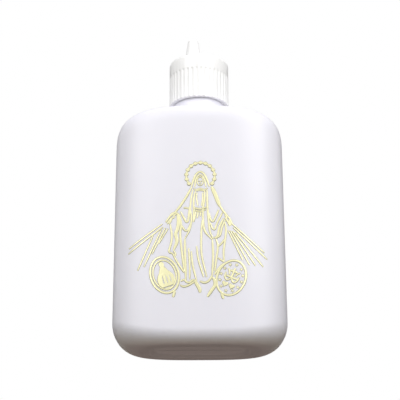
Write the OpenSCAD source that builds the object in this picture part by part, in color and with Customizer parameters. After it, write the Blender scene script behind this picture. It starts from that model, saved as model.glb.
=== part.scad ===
// Oval squeeze bottle for blessed water, with a screw cap and a spout that flips up.
// Millimetres. The origin is the middle of the base on the table, +Z is up and -Y is the printed face.

/* [Bottle body] */
// Width across the narrow sides
body_w = 59.5; // [50:0.5:90]
// Depth from the printed face to the back
body_d = 34.5; // [30:0.5:50]
// Height of the top of the shoulder
shoulder_z = 86; // [60:0.1:160]
// Thickness of the blown wall
body_wall = 1; // [0.6:0.1:2]
// Squareness of the section, 2 for a plain ellipse
section_power = 3.2; // [2:0.1:4]
// Rounding of the heel at the narrow sides
side_heel = 9; // [4:0.5:12]
// Rounding of the heel at the front and back
face_heel = 4.5; // [3:0.5:8]
// Height of the shoulder curve at the narrow sides
side_shoulder = 14.5; // [8:0.1:24]
// Height of the shoulder curve at the front and back
face_shoulder = 8; // [5:0.1:18]
// Fullness of the shoulder curve, 2 for a plain ellipse
shoulder_power = 3; // [1.6:0.1:4]
// Width of the band that the bottle stands on
foot_w = 3.5; // [2:0.1:5]
// Depth of the hollow in the base
push_up = 0.8; // [0.4:0.1:3]
// Width of the slope from the band to the hollow
push_run = 2.4; // [0.5:0.1:3]

/* [Neck] */
// Height of the round collar between the shoulder and the land
collar_h = 4.9; // [1:0.1:8]
// Outside diameter between the threads
neck_d = 15.6; // [14:0.1:24]
// Height from the land to the lip
neck_h = 8.9; // [8.5:0.1:20]
// Thickness of the neck
neck_wall = 1.6; // [1:0.1:2.5]
// Width of the flat land round the neck
land_w = 1.6; // [0.6:0.1:3]
// Bevel of the lip
lip_bevel = 0.3; // [0.1:0.05:0.5]
// Height of a thread ridge over the neck
thread_h = 1.1; // [0.7:0.05:1.4]
// Rise of the thread in one turn
thread_pitch = 3.175; // [2.4:0.005:3.4]
// Length of the thread in turns
thread_turns = 1.3; // [1:0.1:1.8]
// Drop from the lip to the middle of the thread's upper end
thread_drop = 1.9; // [1.6:0.1:2.5]

/* [Cap] */
// Thickness of the skirt outside the thread
cap_wall = 1.7; // [1.2:0.1:3]
// Gap from the land up to the rim of the cap
rim_gap = 0.1; // [0.1:0.1:1.5]
// Bevel round the rim
rim_bevel = 0.4; // [0.2:0.1:0.6]
// Rounding of the top edge
top_round = 1.2; // [0.5:0.1:4]
// Number of finger grooves round the skirt
groove_count = 40; // [24:1:48]
// Diameter of the round cutter that makes a finger groove
groove_d = 1.3; // [0.8:0.1:1.5]
// Depth of a finger groove
groove_depth = 0.32; // [0.2:0.02:0.5]
// Plain band left above the finger grooves
plain_band = 5.4; // [3.5:0.1:7]
// Thickness left under the slot of the spout
slot_floor = 1; // [0.8:0.1:2]
// Depth of the fingernail notch at the end of the slot
notch_depth = 2.4; // [1:0.1:3]
// Width of the fingernail notch
notch_w = 4.6; // [3:0.1:5]

/* [Liner] */
// Thickness of the sealing ring between lip and cap
liner_t = 0.8; // [0.5:0.1:1.5]

/* [Spout] */
// Diameter of the spout below its taper
spout_d = 6; // [4:0.1:7]
// Diameter at the tip
tip_d = 4; // [3:0.1:5]
// Length of the tapered end
taper_len = 8; // [3:0.1:9]
// Height of the tip over the top of the cap
spout_rise = 8.1; // [5:0.1:10]
// Diameter of the water passage
passage_d = 1.6; // [1:0.1:2.2]
// Distance of the pivot from the middle of the cap
pivot_shift = 4.2; // [2:0.1:5]
// Direction in which the spout folds, turned from the right towards the back
fold_turn = 60; // [0:5:355]
// Diameter of the pivot pins
pin_d = 2.4; // [1.8:0.1:3]
// Length of each pivot pin
pin_len = 1.4; // [1:0.1:2]
// Step from the spout to the thicker barrel that it turns on
barrel_step = 0.15; // [0.1:0.05:0.3]
// Bevel of the tip
tip_bevel = 0.25; // [0.1:0.05:0.4]

/* [Clearances] */
// Between the two threads, measured across the axis
thread_gap = 0.3; // [0.25:0.05:0.5]
// Round the pivot pins
pin_gap = 0.05; // [0.03:0.01:0.1]
// Between the spout and its slot
slot_gap = 0.2; // [0.15:0.05:0.4]
// Between the liner's edge and the skirt
liner_gap = 0.2; // [0.1:0.05:0.5]
// Depth of the folded spout below the top of the cap
fold_sink = 0.1; // [0.05:0.05:0.5]

/* [Hidden] */
$fn = 64;

// Points round the body and steps along its rounded stretches
ring_points = 64;
heel_steps = 6;
shoulder_steps = 9;
// Steps in one turn of a thread, and the length in turns over which its ends fade out
turn_steps = 24;
fade_turns = 0.15;
// A ridge's half width at its root and at its crest, as shares of the pitch
root_share = 0.27;
crest_share = 0.13;
// Height left at the faded ends, as a share of the ridge, and how far its root is sunk in the wall
end_share = 0.1;
ridge_bite = 0.3;
// Extra length of a cutter past the face that it opens
over = 1;

neck_r = neck_d / 2;
bore_r = neck_r - neck_wall;
thread_r = neck_r + thread_h;
land_r = neck_r + land_w;
// The body's inner opening lies under the middle of the neck's wall
throat_r = (bore_r + neck_r) / 2;
land_z = shoulder_z + collar_h;
lip_z = land_z + neck_h;
thread_z = lip_z - thread_drop - thread_turns * thread_pitch;

skirt_r = thread_r + thread_gap;
cap_r = skirt_r + cap_wall;
rim_z = land_z + rim_gap;
ceiling_z = lip_z + liner_t;
slot_z = ceiling_z + slot_floor;

barrel_r = spout_d / 2 + barrel_step;
pivot_x = -pivot_shift;
pivot_z = slot_z + slot_gap + barrel_r;
deck_z = pivot_z + barrel_r + fold_sink;
tip_z = deck_z + spout_rise;
spout_len = tip_z - pivot_z;
slot_half = barrel_r + slot_gap;
pin_reach = barrel_r + pin_len;

// A power that keeps the sign of its base
function signed_pow(v, p) = sign(v) * pow(abs(v), p);

// One ring of the body: half sizes, squareness, and its heights at the sides and at the faces
function ring(half_w, half_d, power, side_z, face_z) = [
    for (i = [0 : ring_points - 1])
        let (t = 360 * i / ring_points, share = pow(sin(t), 2))
        [half_w * signed_pow(cos(t), 2 / power),
         half_d * signed_pow(sin(t), 2 / power),
         side_z * (1 - share) + face_z * share]
];

// The rings of a skin that lies a given depth inside the body's outer face, from the base up
function skin(depth, top_r) =
    let (foot_a = body_w / 2 - side_heel,
         foot_b = body_d / 2 - face_heel,
         side_r = side_heel - depth,
         face_r = face_heel - depth,
         top = shoulder_z - depth,
         side_z = shoulder_z - side_shoulder,
         face_z = shoulder_z - face_shoulder,
         hollow_a = foot_a - foot_w,
         hollow_b = foot_b - foot_w,
         n = section_power)
    [
        ring(hollow_a - push_run, hollow_b - push_run, n, push_up + depth, push_up + depth),
        ring(hollow_a, hollow_b, n, depth, depth),
        for (i = [0 : heel_steps])
            let (q = 90 * i / heel_steps)
            ring(foot_a + side_r * sin(q), foot_b + face_r * sin(q), n,
                 depth + side_r * (1 - cos(q)), depth + face_r * (1 - cos(q))),
        for (i = [0 : shoulder_steps])
            let (q = 90 * i / shoulder_steps,
                 u = i / shoulder_steps,
                 out = pow(cos(q), 2 / shoulder_power),
                 up = pow(sin(q), 2 / shoulder_power))
            ring(top_r + (foot_a + side_r - top_r) * out,
                 top_r + (foot_b + face_r - top_r) * out,
                 n + (2 - n) * pow(u, 3),
                 side_z + (top - side_z) * up,
                 face_z + (top - face_z) * up)
    ];

function reversed(list) = [for (i = [len(list) - 1 : -1 : 0]) list[i]];

// A closed skin over a chain of rings, with a point at each end of the chain
module ring_chain(rings, first_point, last_point) {
    n = len(rings[0]);
    count = len(rings);
    points = [first_point, for (r = rings) each r, last_point];
    last = len(points) - 1;
    faces = [
        for (i = [0 : n - 1])
            [0, 1 + i, 1 + (i + 1) % n],
        for (j = [0 : count - 2], i = [0 : n - 1])
            let (a = 1 + j * n + i, b = 1 + j * n + (i + 1) % n)
            each [[a, a + n, b], [b, a + n, b + n]],
        for (i = [0 : n - 1])
            let (base = 1 + (count - 1) * n)
            [last, base + (i + 1) % n, base + i]
    ];
    polyhedron(points = points, faces = faces);
}

// A helical ridge that rises from a round wall at one radius to a crest at another
module thread_ridge(root_r, crest_r, start_z) {
    steps = ceil(thread_turns * turn_steps);
    // The root is sunk in the wall, on the side away from the crest
    buried_r = root_r - sign(crest_r - root_r) * ridge_bite;
    corners = [for (j = [0 : steps])
        let (turn = thread_turns * j / steps,
             edge = min(turn, thread_turns - turn),
             height = max(end_share, min(1, edge / fade_turns)),
             r = root_r + (crest_r - root_r) * height,
             z = start_z + thread_pitch * turn,
             root_half = root_share * thread_pitch,
             crest_half = crest_share * thread_pitch,
             outline = [[buried_r, z - root_half], [r, z - crest_half],
                        [r, z + crest_half], [buried_r, z + root_half]])
        [for (p = outline) [p[0] * cos(360 * turn), p[0] * sin(360 * turn), p[1]]]
    ];
    outward = crest_r > root_r;
    points = [for (c = corners) each (outward ? reversed(c) : c)];
    last = steps * 4;
    faces = [
        [0, 1, 2],
        [0, 2, 3],
        for (j = [0 : steps - 1], k = [0 : 3])
            let (a = j * 4 + k, b = j * 4 + (k + 1) % 4)
            each [[a, a + 4, b], [b, a + 4, b + 4]],
        [last + 2, last + 1, last],
        [last + 3, last + 2, last]
    ];
    polyhedron(points = points, faces = faces);
}

// The threaded tube that stands on the land of the collar
module neck() {
    rotate_extrude()
        polygon([
            [bore_r, land_z],
            [neck_r, land_z],
            [neck_r, lip_z - lip_bevel],
            [neck_r - lip_bevel, lip_z],
            [bore_r + lip_bevel, lip_z],
            [bore_r, lip_z - lip_bevel]
        ]);
    thread_ridge(neck_r, thread_r, thread_z);
}

// The blown body and its neck, one hollow piece
module bottle() {
    outer = skin(0, land_r);
    inner = skin(body_wall, throat_r);
    collar = ring(land_r, land_r, 2, land_z, land_z);
    throat = ring(throat_r, throat_r, 2, land_z, land_z);
    color([0.95, 0.95, 0.97]) {
        ring_chain([each outer, collar, throat, each reversed(inner)],
                   [0, 0, push_up], [0, 0, push_up + body_wall]);
        neck();
    }
}

// The outside of the cap, with its rounded top edge
module cap_blank() {
    rotate_extrude()
        union() {
            polygon([
                [0, rim_z],
                [cap_r - rim_bevel, rim_z],
                [cap_r, rim_z + rim_bevel],
                [cap_r, deck_z - top_round],
                [cap_r - top_round, deck_z - top_round],
                [cap_r - top_round, deck_z],
                [0, deck_z]
            ]);
            translate([cap_r - top_round, deck_z - top_round])
                intersection() {
                    circle(r = top_round);
                    square(top_round);
                }
        }
}

// The upright finger grooves round the skirt
module finger_grooves() {
    groove_h = deck_z - plain_band - rim_z + over;
    for (i = [0 : groove_count - 1])
        rotate(360 * i / groove_count)
            translate([cap_r + groove_d / 2 - groove_depth, 0, rim_z - over])
                cylinder(d = groove_d, h = groove_h, $fn = 24);
}

// The slot that the spout folds into, its pivot sockets, the notch at its end and the hole below
module spout_slot() {
    slot_end = pivot_x + spout_len + slot_gap;
    rotate(fold_turn) {
        translate([pivot_x - slot_half, -slot_half, slot_z])
            cube([slot_end - pivot_x + slot_half, 2 * slot_half, deck_z - slot_z + over]);
        translate([slot_end - over, -notch_w / 2, deck_z - notch_depth])
            cube([cap_r - slot_end + 2 * over, notch_w, notch_depth + over]);
        translate([pivot_x, pin_reach + slot_gap, pivot_z])
            rotate([90, 0, 0])
                cylinder(d = pin_d + 2 * pin_gap, h = 2 * (pin_reach + slot_gap));
        translate([pivot_x, 0, ceiling_z - over])
            cylinder(d = passage_d, h = slot_floor + 2 * over);
    }
}

// The ribbed screw cap
module cap() {
    color([0.98, 0.98, 0.99]) {
        difference() {
            cap_blank();
            translate([0, 0, rim_z - over])
                cylinder(r = skirt_r, h = ceiling_z - rim_z + over);
            finger_grooves();
            spout_slot();
        }
        thread_ridge(skirt_r, neck_r + thread_gap, thread_z - thread_pitch / 2);
    }
}

// The soft ring that the cap presses on the lip
module liner() {
    color([0.88, 0.89, 0.9])
        translate([0, 0, lip_z])
            difference() {
                cylinder(r = skirt_r - liner_gap, h = liner_t);
                translate([0, 0, -over])
                    cylinder(r = bore_r + lip_bevel, h = liner_t + 2 * over);
            }
}

// The tapered spout on its barrel and pins, standing open
module spout() {
    color([0.98, 0.98, 0.99])
        rotate(fold_turn) translate([pivot_x, 0, pivot_z])
            difference() {
                union() {
                    rotate_extrude()
                        polygon([
                            [0, 0],
                            [spout_d / 2, 0],
                            [spout_d / 2, spout_len - taper_len],
                            [tip_d / 2, spout_len - tip_bevel],
                            [tip_d / 2 - tip_bevel, spout_len],
                            [0, spout_len]
                        ]);
                    rotate([90, 0, 0])
                        cylinder(r = barrel_r, h = 2 * barrel_r, center = true);
                    rotate([90, 0, 0])
                        cylinder(d = pin_d, h = 2 * pin_reach, center = true);
                }
                translate([0, 0, -barrel_r - over])
                    cylinder(d = passage_d, h = spout_len + barrel_r + 2 * over);
            }
}

bottle();
cap();
liner();
spout();
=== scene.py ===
"""Looks of a white oval squeeze bottle with a screw cap and a flip-up spout.

Everything is in metres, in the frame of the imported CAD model: the origin is the middle of the base,
+Z is up and -Y is the printed face.
"""

import math

import bmesh
import bpy
from bpy.props import FloatProperty, FloatVectorProperty, IntProperty, PointerProperty
from mathutils import Matrix, Vector


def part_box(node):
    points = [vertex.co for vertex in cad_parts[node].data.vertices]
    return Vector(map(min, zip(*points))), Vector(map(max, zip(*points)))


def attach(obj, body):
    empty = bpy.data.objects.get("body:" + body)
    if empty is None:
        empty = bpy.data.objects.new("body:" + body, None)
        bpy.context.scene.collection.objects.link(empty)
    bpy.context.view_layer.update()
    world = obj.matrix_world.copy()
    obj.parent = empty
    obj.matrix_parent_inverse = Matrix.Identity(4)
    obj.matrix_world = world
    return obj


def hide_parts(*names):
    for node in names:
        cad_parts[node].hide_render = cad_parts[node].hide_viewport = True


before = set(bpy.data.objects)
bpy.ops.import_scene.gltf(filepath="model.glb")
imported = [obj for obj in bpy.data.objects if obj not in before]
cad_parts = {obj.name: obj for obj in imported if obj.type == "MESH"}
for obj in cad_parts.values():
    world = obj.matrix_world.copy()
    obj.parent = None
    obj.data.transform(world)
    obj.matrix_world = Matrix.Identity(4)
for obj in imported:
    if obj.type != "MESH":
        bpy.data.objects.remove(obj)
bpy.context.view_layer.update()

bl_info = {
    "name": "Oval Water Bottle",
    "version": (1, 0, 0),
    "blender": (4, 5, 0),
    "location": "View3D > Sidebar > Bottle",
    "description": "Builds a white oval squeeze bottle, its screw cap, spout and gold print",
    "category": "Object",
}

MM = 0.001
BOTTLE_LO, BOTTLE_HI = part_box("bottle")
CAP_LO, CAP_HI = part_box("cap")
LINER_LO, LINER_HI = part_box("liner")
SPOUT_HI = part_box("spout")[1]

# Points round the body and round the turned pieces
BODY_POINTS = 240
ROUND_POINTS = 160


# Settings that a user would change


def linear(hex_code):
    """The linear colour of an sRGB hex value."""
    channels = [int(hex_code[i : i + 2], 16) / 255 for i in (1, 3, 5)]
    curve = [c / 12.92 if c <= 0.04045 else ((c + 0.055) / 1.055) ** 2.4 for c in channels]
    return tuple(curve)


def length(name, description, default):
    """A size in metres, for a settings group."""
    return FloatProperty(name=name, description=description, default=default, min=0.0,
                         precision=5, unit="LENGTH")


def number(name, description, default, low, high, **kind):
    """A number between two limits, for a settings group."""
    return FloatProperty(name=name, description=description, default=default, min=low, max=high, **kind)


def angle(name, description, degrees):
    """An angle, for a settings group."""
    return FloatProperty(name=name, description=description, default=math.radians(degrees),
                         subtype="ANGLE")


def tint(name, description, hex_code):
    """A colour, for a settings group."""
    return FloatVectorProperty(name=name, description=description, default=linear(hex_code),
                               min=0.0, max=1.0, subtype="COLOR")


class BottleSettings(bpy.types.PropertyGroup):
    """Sizes and colours of the blown bottle."""

    width: length("Width", "Width across the narrow sides", BOTTLE_HI.x - BOTTLE_LO.x)
    depth: length("Depth", "Depth from the printed face to the back", BOTTLE_HI.y - BOTTLE_LO.y)
    lip: length("Lip height", "Height of the lip of the neck", BOTTLE_HI.z)
    shoulder: length("Shoulder height", "Height of the top of the shoulder", 86.0 * MM)
    collar: length("Collar", "Height of the round collar between the shoulder and the land", 4.9 * MM)
    wall: length("Wall", "Thickness of the blown wall", 1.0 * MM)
    squareness: number("Squareness", "Power of the section, 2 for an ellipse", 3.2, 2.0, 4.0)
    side_heel: length("Side heel", "Rounding of the heel at the narrow sides", 9.0 * MM)
    face_heel: length("Face heel", "Rounding of the heel at front and back", 4.5 * MM)
    side_shoulder: length("Side shoulder", "Height of the shoulder curve at the sides", 14.5 * MM)
    face_shoulder: length("Face shoulder", "Height of the shoulder curve at front and back", 8.0 * MM)
    fullness: number("Shoulder fullness", "Power of the shoulder curve", 3.0, 1.6, 4.0)
    foot_band: length("Foot band", "Width of the band that the bottle stands on", 3.5 * MM)
    hollow: length("Base hollow", "Depth of the hollow in the base", 0.8 * MM)
    hollow_run: length("Hollow slope", "Width of the slope from the foot band to the hollow", 2.4 * MM)
    neck: length("Neck", "Outside diameter of the neck between the threads", 15.6 * MM)
    neck_wall: length("Neck wall", "Thickness of the neck", 1.6 * MM)
    land: length("Land", "Width of the flat land round the neck", 1.6 * MM)
    pitch: length("Thread pitch", "Rise of the thread in one turn", 3.175 * MM)
    turns: number("Thread turns", "Length of the thread in turns", 1.3, 1.0, 1.8)
    seam: length("Seam", "Half the width of the moulded parting line", 0.09 * MM)
    colour: tint("Plastic", "Colour of the bottle's plastic", "#ECEBF4")
    cloud: tint("Plastic, thin spots", "Colour where the blown wall is thinner", "#E8E7F1")


class CapSettings(bpy.types.PropertyGroup):
    """Sizes and colours of the cap, its liner and its spout."""

    radius: length("Cap radius", "Outside radius of the cap", CAP_HI.y)
    wall: length("Skirt wall", "Thickness of the skirt outside the thread", 1.7 * MM)
    top_round: length("Top rounding", "Rounding of the top edge", 1.2 * MM)
    grooves: IntProperty(name="Finger grooves", description="Number of grooves round the skirt",
                         default=40, min=12, max=80)
    groove_depth: length("Groove depth", "Depth of a finger groove", 0.32 * MM)
    groove_round: length("Groove rounding", "Radius of the round bottom of a groove", 0.65 * MM)
    plain_band: length("Plain band", "Plain band above the finger grooves", 5.4 * MM)
    slot_floor: length("Slot floor", "Thickness left under the slot of the spout", 1.0 * MM)
    fold: angle("Fold direction", "Where the spout folds to, turned from the right to the back", 60)
    shift: length("Pivot shift", "Distance of the spout's pivot from the middle of the cap", 4.2 * MM)
    spout: length("Spout diameter", "Diameter of the spout below its taper", 6.0 * MM)
    tip: length("Tip diameter", "Diameter of the spout at its tip", 4.0 * MM)
    taper: length("Taper", "Length of the tapered end of the spout", 8.0 * MM)
    passage: length("Passage", "Diameter of the water passage", 1.6 * MM)
    colour: tint("Cap plastic", "Colour of the cap", "#FBFBFC")
    spout_colour: tint("Spout plastic", "Colour of the spout", "#F7F7F8")
    liner_colour: tint("Liner foam", "Colour of the sealing ring", "#E4E6E8")


class PrintSettings(bpy.types.PropertyGroup):
    """Weight and colours of the stamped print."""

    weight: number("Line weight", "Factor on the width of every line", 0.92, 0.5, 2.0, subtype="FACTOR")
    lift: length("Foil height", "Height of the foil over the plastic", 0.06 * MM)
    edge_width: length("Edge width", "Width of the pressed edge round every line", 0.28 * MM)
    colour: tint("Foil", "Colour of the foil", "#E3DFB4")
    # The edge colour lies on the pressed edge, and more of it is laid on as painted shade where an edge
    # faces down
    edge: tint("Foil edge", "Colour of the foil's pressed edge", "#3E3828")


class StageSettings(bpy.types.PropertyGroup):
    """Floor, lamps and camera."""

    floor: tint("Floor", "Colour of the floor", "#EDEDED")
    bounce: tint("Floor bounce", "Dim warm colour of the light that the floor throws back", "#686351")
    fill: number("Room light", "Strength of the light from all round", 0.66, 0.0, 2.0)
    key: number("Softboxes", "Power that the softboxes share out", 2.75, 0.0, 50.0, unit="POWER")
    under: number("Under lamp", "Power of the weak lamp below the floor", 0.37, 0.0, 10.0, unit="POWER")
    under_tint: tint("Under lamp tint", "Warm colour of the weak lamp below the floor", "#FFEADB")
    card: tint("Cards", "Colour of the dark cards beside and behind the bottle", "#161616")
    camera_tilt: angle("Camera tilt", "Angle of the camera below level", 20)
    camera_roll: angle("Camera roll", "Turn of the camera about its view", -0.25)
    camera_distance: length("Camera distance", "From the camera to the middle of the bottle", 0.376)
    lens: number("Lens", "Focal length on a 36 mm sensor, in millimetres", 94.86, 10.0, 500.0)


class WaterBottleSettings(bpy.types.PropertyGroup):
    """All settings of the water bottle."""

    bottle: PointerProperty(type=BottleSettings)
    cap: PointerProperty(type=CapSettings)
    print: PointerProperty(type=PrintSettings)
    stage: PointerProperty(type=StageSettings)


# Small tools for nodes, meshes and pieces


def add_node(tree, kind, feed=None, **settings):
    """Add one node; feed gives its inputs a value each, a socket, or a node for its first output."""
    node = tree.nodes.new(kind)
    for name, value in settings.items():
        setattr(node, name, value)
    for key, value in (feed or {}).items():
        if isinstance(value, bpy.types.Node):
            value = next(socket for socket in value.outputs if socket.enabled)
        if isinstance(value, bpy.types.NodeSocket):
            tree.links.new(value, node.inputs[key])
        else:
            node.inputs[key].default_value = value
    return node


def new_material(name):
    """An empty node material and its tree."""
    material = bpy.data.materials.new(name)
    material.use_nodes = True
    material.node_tree.nodes.clear()
    return material, material.node_tree


def new_tree(name, inputs):
    """An empty geometry tree with named inputs for its sizes, and the sockets of all its inputs."""
    tree = bpy.data.node_groups.new(name, "GeometryNodeTree")
    for key, kind in {"Geometry": "Geometry", **inputs, "Material": "Material"}.items():
        tree.interface.new_socket(key, in_out="INPUT", socket_type="NodeSocket" + kind)
    tree.interface.new_socket("Geometry", in_out="OUTPUT", socket_type="NodeSocketGeometry")
    return tree, add_node(tree, "NodeGroupInput").outputs


def end_tree(tree, shape, material):
    """End a geometry tree in a real shape that has its material."""
    real = add_node(tree, "GeometryNodeRealizeInstances", {"Geometry": shape})
    painted = add_node(tree, "GeometryNodeSetMaterial", {"Geometry": real, "Material": material})
    add_node(tree, "NodeGroupOutput", {"Geometry": painted})
    return tree


def run_tree(name, mesh, tree, values):
    """Run a geometry tree on a mesh and keep the result as a plain mesh."""
    identifiers = {item.name: item.identifier for item in tree.interface.items_tree
                   if item.in_out == "INPUT"}
    obj = new_object(name, mesh)
    modifier = obj.modifiers.new(tree.name, "NODES")
    modifier.node_group = tree
    for key, value in values.items():
        modifier[identifiers[key]] = value
    result = plain_mesh(obj)
    obj.modifiers.clear()
    obj.data = result
    bpy.data.meshes.remove(mesh)
    result.name = name
    return obj


def new_object(name, mesh):
    """An object for a mesh, linked to the scene."""
    obj = bpy.data.objects.new(name, mesh)
    mesh.name = name
    bpy.context.scene.collection.objects.link(obj)
    return obj


def plain_mesh(obj):
    """The mesh of an object with its modifiers worked in."""
    depsgraph = bpy.context.evaluated_depsgraph_get()
    return bpy.data.meshes.new_from_object(obj.evaluated_get(depsgraph), depsgraph=depsgraph)


def kept_mesh(bm):
    """A plain mesh from a working mesh, which is freed."""
    mesh = bpy.data.meshes.new("piece")
    bm.to_mesh(mesh)
    bm.free()
    return mesh


def finished_mesh(bm):
    """A plain mesh with its faces turned outwards."""
    bmesh.ops.recalc_face_normals(bm, faces=bm.faces)
    if bm.calc_volume(signed=True) < 0:
        bmesh.ops.reverse_faces(bm, faces=bm.faces)
    return kept_mesh(bm)


def join_rings(bm, low, high):
    """Faces between two rings of vertices."""
    for i in range(len(low)):
        j = (i + 1) % len(low)
        bm.faces.new((low[i], low[j], high[j], high[i]))


def close_slab(bm, low, high):
    """Faces over, under and round two rings of vertices."""
    bm.faces.new(high)
    bm.faces.new(low[::-1])
    join_rings(bm, low, high)


def loft(rings, start=None, end=None):
    """A mesh over rings of equal counts, with a point at each end, or closed on itself without them."""
    bm = bmesh.new()
    rows = [[bm.verts.new(p) for p in ring] for ring in rings]
    for low, high in zip(rows, rows[1:]):
        join_rings(bm, low, high)
    if start is None:
        join_rings(bm, rows[-1], rows[0])
    else:
        for point, row in ((start, rows[0]), (end, rows[-1])):
            pole = bm.verts.new(point)
            for i in range(len(row)):
                bm.faces.new((pole, row[i], row[(i + 1) % len(row)]))
    return finished_mesh(bm)


def round_steps(count):
    """Even angles once round a circle."""
    return [2 * math.pi * i / count for i in range(count)]


def circle(radius, z, count=ROUND_POINTS):
    """A level ring round the Z axis."""
    return [Vector((radius * math.cos(t), radius * math.sin(t), z)) for t in round_steps(count)]


def arc(centre, radius, first, last, steps=6):
    """Points of an arc in a plane, between two angles in degrees."""
    angles = [math.radians(first + (last - first) * i / steps) for i in range(steps + 1)]
    return [(centre[0] + radius * math.cos(a), centre[1] + radius * math.sin(a)) for a in angles]


def turned(profile, count=ROUND_POINTS, x=0.0):
    """A turned solid on an upright axis at x, from (radius, height) points, closed at both ends."""
    rings = [[p + Vector((x, 0, 0)) for p in circle(r, z, count)] for r, z in profile]
    return loft(rings, Vector((x, 0, profile[0][1])), Vector((x, 0, profile[-1][1])))


def split_faces(mesh):
    """Split a mesh into triangles, so that each stays flat, and tell whether the mesh is closed."""
    bm = bmesh.new()
    bm.from_mesh(mesh)
    bmesh.ops.triangulate(bm, faces=bm.faces)
    closed = len(bm.faces) > 0 and all(edge.is_manifold for edge in bm.edges)
    bm.to_mesh(mesh)
    bm.free()
    return closed


def cut_shape(obj, steps):
    """Cut or join other meshes into an object, in order, as ('DIFFERENCE' or 'UNION', mesh)."""
    split_faces(obj.data)
    for operation, mesh in steps:
        split_faces(mesh)
        tool = new_object("cutter", mesh)
        modifier = obj.modifiers.new(operation, "BOOLEAN")
        modifier.operation = operation
        modifier.solver = "EXACT"
        modifier.object = tool
        result = plain_mesh(obj)
        obj.modifiers.clear()
        obj.data = result
        bpy.data.objects.remove(tool)
        if not split_faces(result):
            raise RuntimeError("cutting " + obj.name + " left it open")


def turn_outwards(obj):
    """Merge doubles and point every face outwards."""
    bm = bmesh.new()
    bm.from_mesh(obj.data)
    bmesh.ops.remove_doubles(bm, verts=bm.verts, dist=1e-7)
    bmesh.ops.recalc_face_normals(bm, faces=bm.faces)
    bm.to_mesh(obj.data)
    bm.free()


def smooth(obj, degrees):
    """Smooth shading with sharp edges over an angle."""
    obj.data.shade_smooth()
    obj.data.set_sharp_from_angle(angle=math.radians(degrees))


def dress(obj, material, body, slot, *nodes):
    """Give a finished piece its material, its body and the CAD nodes that it stands for."""
    if len(obj.data.polygons) == 0:
        raise RuntimeError(obj.name + " has no faces")
    obj.data.materials.clear()
    obj.data.materials.append(material)
    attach(obj, body)
    if nodes:
        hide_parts(*nodes)


def path_mesh(paths):
    """A mesh of open lines through points."""
    bm = bmesh.new()
    for path in paths:
        verts = [bm.verts.new(p) for p in path]
        for a, b in zip(verts, verts[1:]):
            bm.edges.new((a, b))
    return kept_mesh(bm)


# Materials


def blown_polyethylene(colour, cloud):
    """White HDPE, blow moulded: satin, faintly cloudy where the wall thins, a fine orange peel."""
    material, tree = new_material("white HDPE, blow moulded")
    place = add_node(tree, "ShaderNodeTexCoord").outputs["Object"]
    # Clouds about 20 mm across, from the uneven wall
    clouds = add_node(tree, "ShaderNodeTexNoise", {"Scale": 1 / (20 * MM), "Detail": 2.0, "Vector": place})
    mix = add_node(tree, "ShaderNodeMix", {"A": (*colour, 1.0), "B": (*cloud, 1.0), "Factor": clouds},
                   data_type="RGBA")
    rough = add_node(tree, "ShaderNodeMapRange", {"To Min": 0.36, "To Max": 0.44, "Value": clouds})
    # Orange peel of the mould, 0.7 mm across
    peel = add_node(tree, "ShaderNodeTexNoise", {"Scale": 1 / (0.7 * MM), "Detail": 2.0, "Vector": place})
    bump = add_node(tree, "ShaderNodeBump", {"Strength": 0.12, "Distance": 0.02 * MM, "Height": peel})
    shader = add_node(tree, "ShaderNodeBsdfPrincipled", {
        "Base Color": mix, "Roughness": rough, "Normal": bump, "IOR": 1.53, "Subsurface Weight": 0.25,
        "Subsurface Scale": 2.0 * MM, "Subsurface Radius": (1.0, 0.95, 0.9)})
    add_node(tree, "ShaderNodeOutputMaterial", {"Surface": shader})
    return material


def moulded_polypropylene(colour):
    """White PP, injection moulded: brighter and glossier, with faint flow streaks down the skirt."""
    material, tree = new_material("white PP, injection moulded")
    place = add_node(tree, "ShaderNodeTexCoord").outputs["Object"]
    # Streaks 1.5 mm wide, drawn out along the height
    stretch = add_node(tree, "ShaderNodeMapping", {"Scale": (1.0, 1.0, 0.12), "Vector": place})
    streaks = add_node(tree, "ShaderNodeTexNoise",
                       {"Scale": 1 / (1.5 * MM), "Detail": 2.0, "Vector": stretch})
    shade = tuple(0.96 * c for c in colour)
    mix = add_node(tree, "ShaderNodeMix", {"A": (*colour, 1.0), "B": (*shade, 1.0), "Factor": streaks},
                   data_type="RGBA")
    rough = add_node(tree, "ShaderNodeMapRange", {"To Min": 0.26, "To Max": 0.34, "Value": streaks})
    bump = add_node(tree, "ShaderNodeBump", {"Strength": 0.05, "Distance": 0.02 * MM, "Height": streaks})
    shader = add_node(tree, "ShaderNodeBsdfPrincipled", {
        "Base Color": mix, "Roughness": rough, "Normal": bump, "IOR": 1.49, "Subsurface Weight": 0.4,
        "Subsurface Scale": 1.5 * MM, "Subsurface Radius": (1.0, 1.0, 1.0)})
    add_node(tree, "ShaderNodeOutputMaterial", {"Surface": shader})
    return material


def moulded_soft_polyethylene(colour):
    """White LDPE, injection moulded: waxy and a little see-through at the thin tip."""
    material, tree = new_material("white LDPE, injection moulded")
    place = add_node(tree, "ShaderNodeTexCoord").outputs["Object"]
    # Waxy mottling 2 mm across
    wax = add_node(tree, "ShaderNodeTexNoise", {"Scale": 1 / (2.0 * MM), "Detail": 2.0, "Vector": place})
    shade = tuple(0.965 * c for c in colour)
    mix = add_node(tree, "ShaderNodeMix", {"A": (*colour, 1.0), "B": (*shade, 1.0), "Factor": wax},
                   data_type="RGBA")
    rough = add_node(tree, "ShaderNodeMapRange", {"To Min": 0.32, "To Max": 0.4, "Value": wax})
    shader = add_node(tree, "ShaderNodeBsdfPrincipled", {
        "Base Color": mix, "Roughness": rough, "IOR": 1.51, "Subsurface Weight": 0.4,
        "Subsurface Scale": 1.5 * MM, "Subsurface Radius": (1.0, 1.0, 1.0)})
    add_node(tree, "ShaderNodeOutputMaterial", {"Surface": shader})
    return material


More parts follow.
